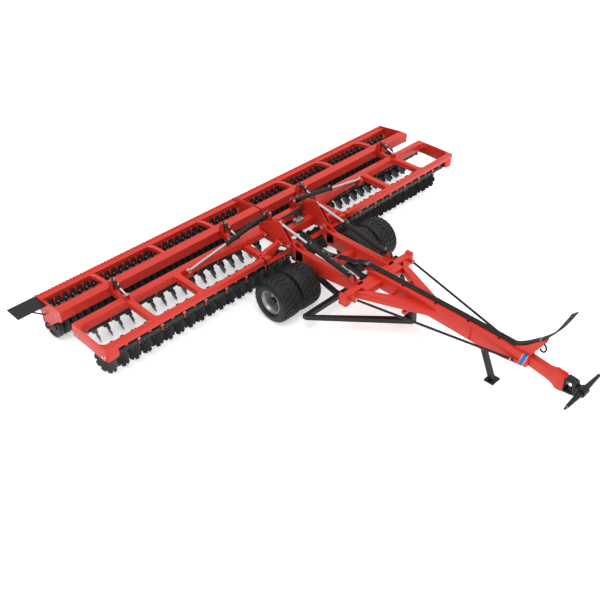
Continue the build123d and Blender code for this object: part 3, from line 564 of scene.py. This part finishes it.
# Wing frames: a slim front beam and a deeper rear beam with flared cross members between them, a
# bevelled end plate with corner gussets, the tapered arm to the rear hinge, and a hanger at every
# torsion joint.
hinge_x, hinge_z = 0.620, 0.950
depth_xs = (1.050, 3.640)
hanger = joined("hanger", [
    box((-0.010, 0.010), y, z) for y, z in (
        ((-0.060, -0.026), (0.600, 0.775)), ((0.026, 0.060), (0.600, 0.725)),
        ((-0.050, 0.050), (0.681, 0.725)), ((-0.050, 0.050), (0.600, 0.629)),
    )
])
for hand, side in hands:
    steel = [
        box((side * 0.960, side * 1.150), (-0.080, 0.080), (0.720, 0.880), 0.008),
        box((side * 1.100, side * 4.690), (-0.080, 0.030), (0.770, 0.880), 0.008),
        box((side * 0.115, side * 4.690), (0.730, 0.890), (0.720, 0.880), 0.008),
        box((side * 0.115, side * 1.100), (-0.060, 0.060), (0.705, 0.725)),
        slab("x", *sorted((side * 4.680, side * 4.700)), [
            (-0.080, 0.880), (0.890, 0.880), (0.925, 0.760), (0.935, 0.640), (0.890, 0.590), (0.710, 0.600),
            (0.020, 0.585), (-0.060, 0.620),
        ]),
        slab("y", 0.025, 0.115, [
            (side * 0.620, 0.995), (side * 0.620, 0.905), (side * 0.900, 0.710), (side * 1.080, 0.710),
            (side * 1.080, 0.890), (side * 0.960, 0.950),
        ]),
        slab("y", -0.080, -0.066, [
            (side * 4.450, 0.775), (side * 4.450, 0.640), (side * 4.480, 0.600), (side * 4.680, 0.590),
            (side * 4.680, 0.775),
        ]),
    ]
    for centre, near in ((1.050, 0.110), (2.580, 0.025), (3.635, 0.025)):
        steel.append(slab("z", 0.760, 0.880, [
            (side * (centre + a), y) for a, y in (
                (-0.100, near), (0.100, near), (0.070, near + 0.035), (0.058, near + 0.100), (0.058, 0.640),
                (0.070, 0.700), (0.100, 0.735), (-0.100, 0.735), (-0.070, 0.700), (-0.058, 0.640),
                (-0.058, near + 0.100), (-0.070, near + 0.035),
            )
        ]))
    for corner, step in ((0.025, 1), (0.735, -1)):
        steel.append(slab("z", 0.765, 0.880, [
            (side * 4.690, corner), (side * 4.570, corner), (side * 4.620, corner + step * 0.025),
            (side * 4.655, corner + step * 0.060), (side * 4.690, corner + step * 0.120),
        ]))
    arm_block = bmesh.new()
    ends = [
        [
            arm_block.verts.new((side * x, y, z))
            for y, z in ((near, low), (far, low), (far, high), (near, high))
        ]
        for x, near, far, low, high in (
            (2.550, 0.750, 0.890, 0.744, 0.880), (0.665, 0.465, 0.615, 0.880, 1.010),
        )
    ]
    arm_block.faces.new(ends[0])
    arm_block.faces.new(ends[1])
    for k in range(4):
        arm_block.faces.new((ends[0][k - 1], ends[0][k], ends[1][k], ends[1][k - 1]))
    bmesh.ops.recalc_face_normals(arm_block, faces=arm_block.faces)
    bmesh.ops.bevel(arm_block, geom=arm_block.edges[:], offset=0.007, segments=2, profile=0.5, affect="EDGES")
    steel.append(form("arm_block", arm_block, 30))
    steel.append(box((side * 0.620, side * 0.670), (0.465, 0.615), (0.905, 0.995)))
    for near, far in ((0.025, 0.115), (0.465, 0.615)):
        knuckle = lathe("knuckle", [(near, 0.023), (near, 0.050), (far, 0.050), (far, 0.023)], 32)
        knuckle.transform(at(side * hinge_x, 0, hinge_z, 0, 0, 90))
        steel.append(knuckle)
    for near, far in ((0.605, 0.619), (0.677, 0.691)):
        steel.append(slab("y", near, far, [
            (side * 2.290, 0.800), (side * 2.430, 0.800), (side * 2.410, 0.905), (side * 2.385, 0.925),
            (side * 2.335, 0.925), (side * 2.310, 0.905),
        ], 0.003))
    steel.append(box((side * 2.290, side * 2.430), (0.605, 0.740), (0.770, 0.810)))
    for x in depth_xs:
        for edge in (-0.030, 0.030):
            steel.append(slab("x", side * x + edge - 0.006, side * x + edge + 0.006, [
                (0.725, 0.870), (0.860, 0.870), (0.815, 0.975), (0.795, 0.990), (0.775, 0.985),
                (0.760, 0.970),
            ], 0.002))
        for edge in (-0.050, 0.050):
            steel.append(slab("x", side * x + edge - 0.006, side * x + edge + 0.006, [
                (0.880, 0.730), (0.880, 0.875), (0.990, 0.845), (1.000, 0.830), (1.000, 0.770),
                (0.985, 0.757),
            ], 0.002))
    hangers = [
        Matrix.Translation((side * (first_hanger + hanger_pitch * step), row_y, 0))
        for step in range(10) for row_y in (front_y, rear_y)
    ]
    steel.append(repeat(f"hangers_{hand}", hanger, hangers, red_paint))
    piece(f"wing_steel_{hand}", joined("wing", steel), f"wing_{hand}", red_paint,
          [f"wing_frame_{hand}"])

# Chassis: two deep rails that rise to the tilt pivots, a cross beam with folded seats for the
# stowed wings, braced forward to the long tapering drawbar that carries the manifold.
tilt_y, tilt_z = -0.120, 0.930
lift_x, lift_base, lift_eye = 0.506, (-1.710, 0.990), (0.156, 1.304)
steel = []
for side in (-1, 1):
    steel.append(slab("x", *sorted((side * 0.360, side * 0.500)), [
        (-1.860, 0.700), (-1.860, 0.890), (-0.250, 0.890), (-0.250, 0.600), (-1.050, 0.600),
    ], 0.008))
    for near, far in ((0.360, 0.380), (0.480, 0.500)):
        steel.append(slab("x", *sorted((side * near, side * far)), [
            (-0.450, 0.700), (-0.250, 0.640), (-0.070, 0.860), (-0.045, 0.930), (-0.055, 0.965),
            (-0.075, 0.985), (-0.120, 1.002), (-0.165, 0.985), (-0.420, 0.890),
        ], 0.003))
    steel.append(box((side * 0.430, side * 0.545), (-1.785, -1.630), (0.885, 0.920)))
    for near, far in ((0.466, 0.479), (0.533, 0.545)):
        steel.append(slab("x", *sorted((side * near, side * far)), [
            (-1.785, 0.910), (-1.630, 0.910), (-1.665, 1.020), (-1.690, 1.040), (-1.730, 1.040),
            (-1.755, 1.020),
        ], 0.003))
    steel.append(slab("y", -1.935, -1.785, [
        (side * 0.760, 0.870), (side * 0.780, 0.700), (side * 0.850, 0.665), (side * 0.920, 0.672),
        (side * 0.960, 0.700), (side * 0.960, 0.925), (side * 0.900, 0.925), (side * 0.870, 0.885),
    ], 0.006))
    steel.append(slab("z", 0.740, 0.880, [
        (side * 0.680, -1.920), (side * 0.490, -2.055), (side * 0.100, -2.790), (side * 0.100, -3.320),
    ], 0.006))
    steel.append(box((side * 0.100, side * 0.330), (-2.420, -2.380), (0.800, 0.874)))
    steel.append(box((side * 0.100, side * 0.330), (-2.790, -2.710), (0.640, 0.700)))
    steel.append(box((side * 0.100, side * 0.150), (-4.940, -4.860), (0.760, 0.820)))
    steel.append(box((side * 0.795, side * 0.845), (-2.060, -1.930), (0.790, 0.870)))
    tilt_pin = lathe("tilt_pin", [(0.365, 0), (0.365, 0.030), (0.495, 0.030), (0.495, 0)], 24)
    tilt_pin.transform(at(0, tilt_y, tilt_z, 0, 0, outward(side)))
    lift_pin = lathe("lift_pin", [(0.455, 0), (0.455, 0.022), (0.555, 0.022), (0.555, 0)], 20)
    lift_pin.transform(at(0, *lift_base, 0, 0, outward(side)))
    steel += [tilt_pin, lift_pin]
steel += [
    box((-0.860, 0.860), (-1.930, -1.790), (0.700, 0.890), 0.008),
    box((-0.510, 0.510), (-2.060, -1.925), (0.740, 0.886), 0.006),
    slab("x", -0.110, 0.110, [
        (-1.700, 0.920), (-1.850, 0.980), (-5.090, 0.980), (-5.090, 0.740), (-4.700, 0.680),
        (-4.220, 0.650), (-2.900, 0.690), (-1.700, 0.690),
    ], 0.008),
    box((-0.365, 0.365), (-1.000, -0.860), (0.640, 0.800), 0.006),
    box((-0.070, 0.070), (-1.710, -1.545), (0.895, 0.920)),
]
for near, far in ((-0.062, -0.047), (0.047, 0.062)):
    steel.append(slab("x", near, far, [
        (-4.290, 0.660), (-4.150, 0.660), (-4.180, 0.560), (-4.260, 0.560),
    ], 0.003))
piece("chassis_steel", joined("chassis", steel), "chassis", red_paint, ["chassis"])

# Drawbar's front link, slim behind and deeper at its head, which has a cheek on each side, with
# the black fork in front of it and the swivel that turns on the fork's upright pin.
fork_y, hitch_y, hitch_z = -5.900, -6.030, 0.790
link = [
    slab("x", -0.062, 0.062, [
        (-5.080, 0.760), (-5.430, 0.705), (-5.600, 0.640), (-5.740, 0.650), (-5.740, 0.890),
        (-5.520, 0.930), (-5.430, 0.915), (-5.080, 0.955),
    ], 0.008),
]
for near, far in ((0.030, 0.085), (-0.085, -0.030)):
    link.append(slab("x", near, far, [
        (-5.480, 0.760), (-5.600, 0.632), (-5.680, 0.622), (-5.740, 0.645), (-5.740, 0.885),
        (-5.700, 0.920), (-5.520, 0.932),
    ], 0.012))
piece("front_link", joined("link", link), "chassis", red_paint, ["hitch_link"])
fork = [box((-0.085, 0.085), (-5.762, -5.738), (0.650, 0.900), 0.006)]
for low, high in ((0.650, 0.690), (0.880, 0.915)):
    fork.append(slab("z", low, high, [
        (-0.085, -5.745), (-0.070, -5.880), (-0.045, -5.940), (0.045, -5.940), (0.070, -5.880),
        (0.085, -5.745),
    ], 0.006))
fork_pin = lathe("fork_pin", [(0.635, 0), (0.635, 0.025), (0.925, 0.025), (0.925, 0)], 24)
fork_pin.transform(at(0, fork_y, 0) @ at(0, 0, 0, 0, -90))
piece("black_fork", joined("fork", [*fork, fork_pin]), "chassis", black_paint)
yoke = [lathe("yoke", [(0.692, 0.026), (0.692, 0.058), (0.878, 0.058), (0.878, 0.026)], 32)]
yoke[0].transform(at(0, fork_y, 0) @ at(0, 0, 0, 0, -90))
cross_hub = lathe("cross_hub", [(-0.075, 0.051), (-0.075, 0.078), (0.075, 0.078), (0.075, 0.051)], 32)
cross_hub.transform(at(0, hitch_y, hitch_z))
yoke += [cross_hub, box((-0.060, 0.060), (-5.980, -5.940), (0.730, 0.850), 0.008)]
piece("yoke", joined("yoke", yoke), "hitch_swivel", black_paint, ["hitch_swivel"])

# Pins, caps and bolts of the frames: hinge pins of the wings, tilt pins, eye pins of the
# cylinders and the round bolt heads of the hangers, all bright zinc with a washer or collar.
fold_y, fold_base_x, fold_base_z, fold_eye_x, fold_eye_z = 0.648, 0.332, 1.230, 2.360, 0.893
depth_base, depth_eye, roller_eye = (1.180, 1.090), (0.790, 0.960), (0.960, 0.800)
pin_loop = [(0, 0), (0, 0.034), (0.006, 0.034), (0.006, 0.026), (0.020, 0.026), (0.024, 0.022), (0.024, 0)]
pin_cap = lathe("pin_cap", pin_loop, 20, 30)
cap_loop = [(0, 0), (0, 0.022), (0.004, 0.022), (0.004, 0.016), (0.016, 0.016), (0.018, 0)]
small_cap = lathe("small_cap", cap_loop, 16, 30)


def both_ends(x, y, z, reach):
    """Places of the caps at both ends of a pin that lies across the machine."""
    return [at(x + reach, y, z), at(x - reach, y, z, 0, 0, 180)]


for hand, side in hands:
    towards_out = outward(side)
    hinge_caps = [
        at(side * hinge_x, y, hinge_z, 0, 0, turn)
        for y, turn in ((0.005, -90), (0.135, 90), (0.445, -90), (0.635, 90))
    ]
    hinge_caps.append(at(side * 0.557, tilt_y, tilt_z, 0, 0, towards_out))
    hinge_caps.append(at(side * 0.360, tilt_y, tilt_z, 0, 0, 180 - towards_out))
    hinge_caps += [
        at(side * fold_base_x, y, fold_base_z, 0, 0, turn) for y, turn in ((0.613, -90), (0.683, 90))
    ]
    copies(f"tower_pins_{hand}", pin_cap, hinge_caps, "tower", zinc)
    eye_caps = [at(side * fold_eye_x, y, fold_eye_z, 0, 0, turn) for y, turn in ((0.605, -90), (0.691, 90))]
    for x in depth_xs:
        eye_caps += both_ends(side * x, *depth_eye, 0.036) + both_ends(side * x, *roller_eye, 0.056)
    copies(f"wing_pins_{hand}", small_cap, eye_caps, f"wing_{hand}", zinc)
    base_caps = []
    for x in depth_xs:
        base_caps += both_ends(side * x, *depth_base, 0.036)
    copies(f"depth_base_pins_{hand}", small_cap, base_caps, f"roller_frame_{hand}", zinc)
    beam_bolts = []
    for step in range(10):
        x = side * (first_hanger + hanger_pitch * step)
        for row_y in (front_y, rear_y):
            beam_bolts += [at(x - 0.010, row_y + dy, 0.712, 0, 0, 180) for dy in (-0.045, 0.045)]
            beam_bolts += [at(x + 0.010, row_y + dy, 0.712) for dy in (-0.045, 0.045)]
    for y, z in ((-0.040, 0.700), (0.040, 0.660), (0.770, 0.680), (0.860, 0.700)):
        beam_bolts.append(at(side * 4.700, y, z, 0, 0, towards_out))
    copies(f"beam_bolts_{hand}", small_cap, beam_bolts, f"wing_{hand}", zinc)

# Lugs midway along each torsion segment, welded under the beams: short red plates that stand
# between the beam and the black tube.
lug = slab("x", -0.025, 0.025, [(-0.040, 0.697), (-0.052, 0.775), (0.052, 0.775), (0.040, 0.697)])
for hand, side in hands:
    places = [
        Matrix.Translation((side * (first_hanger + (step + 0.5) * hanger_pitch), row_y, 0))
        for step in range(9) for row_y in (front_y, rear_y) if row_y or step > 1
    ]
    copies(f"segment_lugs_{hand}", lug, places, f"wing_{hand}", red_paint)

# Fittings of the fold, lift and depth cylinders: a gland ring at the rod's end, welded ports with
# silver unions, and a thin black pipe along the barrel.
union = lathe("union", [
    (0, 0), (0, 0.015), (0.016, 0.015), (0.018, 0.011), (0.034, 0.011), (0.036, 0.014), (0.050, 0.014),
    (0.052, 0),
], 6, 30)


def pipe(name, points, radius, resolution=6):
    """A smooth tube through control points given over the ground, as a mesh."""
    holder = bpy.data.objects.new(name, tube_curve(name, points, radius, 3, resolution))
    bpy.context.scene.collection.objects.link(holder)
    made = bpy.data.meshes.new_from_object(holder.evaluated_get(bpy.context.evaluated_depsgraph_get()))
    bpy.data.objects.remove(holder)
    made.shade_smooth()
    return made


for hand, side in hands:
    cylinders = [
        (f"lift_barrel_{hand}", (side * lift_x, *lift_base), (side * lift_x, *lift_eye), 1.150, 0.050),
        (f"fold_barrel_{hand}", (side * fold_base_x, fold_y, fold_base_z),
         (side * fold_eye_x, fold_y, fold_eye_z), 1.130, 0.045),
    ]
    for place, x in zip(("inner", "outer"), depth_xs):
        cylinders.append(
            (f"depth_barrel_{place}_{hand}", (side * x, *depth_base), (side * x, *depth_eye), 0.230, 0.032)
        )
    for body, start, end, length, radius in cylinders:
        start, along = Vector(start), (Vector(end) - Vector(start)).normalized()
        facing = along.to_track_quat("X", "Z").to_matrix().to_4x4()
        gland = lathe("gland", [
            (length - 0.045, radius - 0.002), (length - 0.045, radius + 0.006),
            (length - 0.004, radius + 0.006), (length, radius + 0.002), (length, radius - 0.012),
            (length - 0.045, radius - 0.012),
        ], 32, 30)
        gland.transform(Matrix.Translation(start) @ facing)
        up = Vector((0, 0, 1)) - along * along.z
        up.normalize()
        small = length < 0.5
        ports = (0.050, length - 0.060) if small else (0.110, length - 0.080)
        upright = up.to_track_quat("X", "Y").to_matrix().to_4x4()
        places = [
            Matrix.Translation(start + along * step + up * (radius - 0.004)) @ upright for step in ports
        ]
        copies(f"ports_{body}", union, places, body, zinc)
        reach = radius + (0.040 if small else 0.050)
        across = along.cross(up)
        dip = 0 if small else 0.018
        route = [
            start + along * ports[0] + up * (reach - 0.004),
            start + along * (ports[0] + 0.05) + up * (reach + 0.010),
            start + along * (ports[0] * 0.5 + ports[1] * 0.5) + up * (reach - dip) + across * 0.012,
            start + along * (ports[1] - 0.05) + up * (reach + 0.006),
            start + along * ports[1] + up * (reach - 0.004),
        ]
        line = pipe(f"line_{body}", route, 0.007)
        piece(f"fittings_{body}", joined("fittings", [gland, line]), body, black_paint)

# Hydraulic valve and hoses on the tower, between its plates: a silver block with unions and black
# hoses that loop from it to both sides.
valve = box((-0.020, 0.180), (0.190, 0.310), (1.000, 1.095))
valve_ports = [(x, y) for x in (0.010, 0.060, 0.110, 0.150) for y in (0.225, 0.275)]
valve_unions = repeat("valve_unions", union, [at(x, y, 1.095, 0, -90, 0) for x, y in valve_ports], zinc)
piece("valve_block", joined("valve", [valve, valve_unions]), "tower", zinc)
loops = []
for step, (x, y) in enumerate(valve_ports):
    side = 1 if step % 2 else -1
    loops.append(pipe(f"loop_{step}", [
        (x, y, 1.140), (x, y, 1.230 + 0.012 * step), (x + side * 0.10, y + 0.05, 1.260 + 0.010 * step),
        (x + side * 0.26, y + 0.16, 1.180), (side * 0.42, 0.480 + 0.02 * step, 1.040),
        (side * 0.435, 0.560, 0.900),
    ], 0.011))
piece("tower_hoses", joined("tower_hoses", loops), "tower", rubber)

# Lines along the drawbar and up the mast, held by clips, with a silver union on each at both
# ends. From the manifold behind them a bundle runs on between the rails to the tower.
lane_xs = [(lane - 1.5) * lane_pitch for lane in range(4)]
unions = [at(x, -1.600, 1.000, 0, 0, -90) for x in lane_xs]
unions += [at(x, -5.190, 1.354, 0, 0, -90) @ at(0, 0, 0, 0, -46) for x in lane_xs]
copies("hose_unions", union, unions, "chassis", zinc)
bundle = []
for x in lane_xs:
    beside = x * 0.88 + 0.028
    bundle.append(pipe("line", [
        (x, -1.600, 1.000), (beside, -2.600, 1.000), (beside, -4.600, 1.000), (x, -4.740, 0.998),
        (x, -4.860, 1.060), (x, -5.040, 1.205), (x, -5.225, 1.390),
    ], hose_diameter / 2, 16))
    bundle.append(pipe("line", [
        (x, -1.540, 0.985), (x, -1.440, 0.985), (x * 1.2, -1.300, 0.870), (x * 1.4, -1.000, 0.840),
        (x * 1.4, -0.700, 0.720), (x * 1.2, -0.400, 0.720), (x * 1.2, -0.100, 0.860), (x, 0.150, 0.880),
        (x, 0.185, 0.880),
    ], 0.012))
for y in (-2.485, -3.200, -3.885, -4.500):
    bundle.append(box((-0.068, 0.068), (y - 0.015, y + 0.015), (0.980, 1.020), 0.003))
bundle.append(box((-0.090, 0.090), (-1.600, -1.540), (0.915, 1.020), 0.006))
piece("drawbar_lines", joined("lines", bundle), "chassis", rubber, ["drawbar_hoses"])

# Drawbar details: a blue band round its front end, edged in white metal, the black hook at the
# hoses' mast, red ledges on its right side, the stay rods with their nuts, and the hitch's collars.
band = slab("x", -0.1115, 0.1115, [
    (-4.930, 0.728), (-5.020, 0.735), (-5.085, 0.9815), (-4.995, 0.9815),
], 0.001)
piece("drawbar_band", band, "chassis", blue_band)
edges = [
    slab("x", -0.1125, 0.1125, [
        (y, 0.732), (y - 0.014, 0.733), (y - 0.079, 0.9822), (y - 0.065, 0.9822),
    ], 0.001)
    for y in (-4.926, -5.010)
]
piece("band_edges", joined("band_edges", edges), "chassis", rim_silver)
hook = pipe("hook", [
    (0, -5.190, 1.290), (0, -5.260, 1.280), (0, -5.310, 1.210), (0, -5.290, 1.130), (0, -5.230, 1.110),
    (0, -5.205, 1.150),
], 0.016)
rest = box((-0.060, 0.060), (-5.215, -5.185), (1.285, 1.315))
piece("hose_hook", joined("hook", [hook, rest]), "chassis", black_paint)
ledges = [
    box((-0.132, -0.108), (-4.015, -3.975), (z - 0.016, z + 0.016)) for z in (0.700, 0.775, 0.850, 0.925)
]
ledges.append(box((-0.114, -0.108), (-4.025, -3.965), (0.680, 0.950), 0.002))
piece("drawbar_ledges", joined("ledges", ledges), "chassis", red_paint)
stays, rod_nuts = [], []
for side in (-1, 1):
    start, end = Vector((side * 0.820, -1.975, 0.842)), Vector((side * 0.135, -4.880, 0.790))
    length, along = (end - start).length, (end - start).normalized()
    facing = along.to_track_quat("X", "Z").to_matrix().to_4x4()
    rod = lathe("rod", [(0, 0), (0, 0.022), (length, 0.022), (length, 0)], 16)
    rod.transform(Matrix.Translation(start) @ facing)
    stays.append(rod)
    rod_nuts += [Matrix.Translation(start + along * step) @ facing for step in (0.060, 0.085)]
    rod_nuts.append(Matrix.Translation(end - along * 0.080) @ facing)
piece("stay_bars", joined("stays", stays), "chassis", black_paint, ["stay_rods"])
big_nut = lathe("big_nut", [(0, 0.010), (0, 0.030), (0.020, 0.030), (0.022, 0.027), (0.022, 0.010)], 6, 30)
copies("rod_nuts", big_nut, rod_nuts, "chassis", zinc)
link_caps = [at(x, hitch_y, hitch_z, 0, 0, outward(x)) for x in (-0.490, 0.490)]
collar = lathe("collar", [(0, 0.0185), (0, 0.034), (0.008, 0.034), (0.008, 0.0185)], 24, 30)
copies("link_collars", collar, link_caps, "hitch_bar", zinc)
swivel_nut = [at(0, fork_y, 0.900, 0, -90, 0), at(0, fork_y, 0.640, 0, 90, 0)]
copies("swivel_nuts", pin_cap, swivel_nut, "chassis", zinc)

# Pale floor that glows a little, so that shadows stay faint, with white surroundings and soft
# light from above.
ground = -0.790
floor_mesh = bpy.data.meshes.new("floor")
floor_reach = 60
corners = [(x * floor_reach, y * floor_reach, ground) for x, y in ((-1, -1), (1, -1), (1, 1), (-1, 1))]
floor_mesh.from_pydata(corners, [], [(0, 1, 2, 3)])
floor = bpy.data.objects.new("floor", floor_mesh)
bpy.context.scene.collection.objects.link(floor)
floor_white, _, _, shader = new_material("floor_white")
shader.inputs["Base Color"].default_value = (0.86, 0.86, 0.86, 1)
shader.inputs["Roughness"].default_value = 1
shader.inputs["Specular IOR Level"].default_value = 0
shader.inputs["Emission Color"].default_value = (1, 1, 1, 1)
shader.inputs["Emission Strength"].default_value = 0.45
floor_mesh.materials.append(floor_white)
world = bpy.data.worlds.new("studio")
bpy.context.scene.world = world
world.use_nodes = True
background = world.node_tree.nodes["Background"]
background.inputs["Color"].default_value = (1, 1, 1, 1)
background.inputs["Strength"].default_value = 0.9
sun_data = bpy.data.lights.new("sun", "SUN")
sun_data.energy = 1.2
sun_data.angle = radians(40)
sun = bpy.data.objects.new("sun", sun_data)
sun.rotation_euler = (radians(12), radians(-10), 0)
bpy.context.scene.collection.objects.link(sun)
bpy.context.scene.view_settings.view_transform = "Standard"
